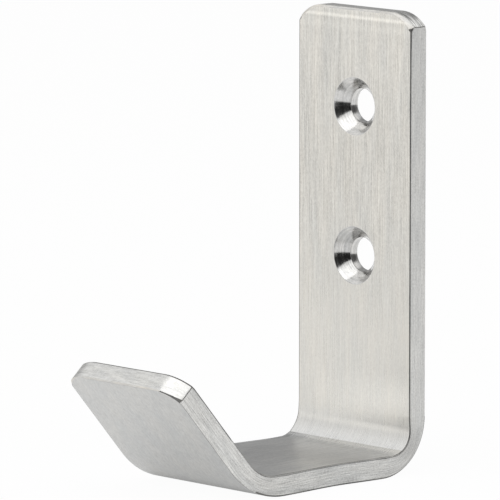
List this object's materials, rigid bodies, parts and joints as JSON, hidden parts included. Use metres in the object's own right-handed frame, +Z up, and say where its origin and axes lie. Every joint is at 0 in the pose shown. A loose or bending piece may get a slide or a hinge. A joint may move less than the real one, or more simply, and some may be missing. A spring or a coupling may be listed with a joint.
{
  "type": "coat hook",
  "caption": "Wall coat hook folded from one brushed steel strip: upright plate with countersunk screw holes, short flat arm and a lip that slopes up and out.",
  "frame": {"origin": "on the wall face, halfway between the two screw holes", "axes": "+Z up along the plate, +Y into the wall, the hook stands out towards -Y, +X to the right seen from the front"},
  "size_m": [0.022, 0.047, 0.0635],
  "materials": {
    "brushed_stainless": "brushed along the strip, satin, with turned bright countersinks"
  },
  "bodies": {
    "root": {"hook": "brushed_stainless"}
  },
  "joints": []
}
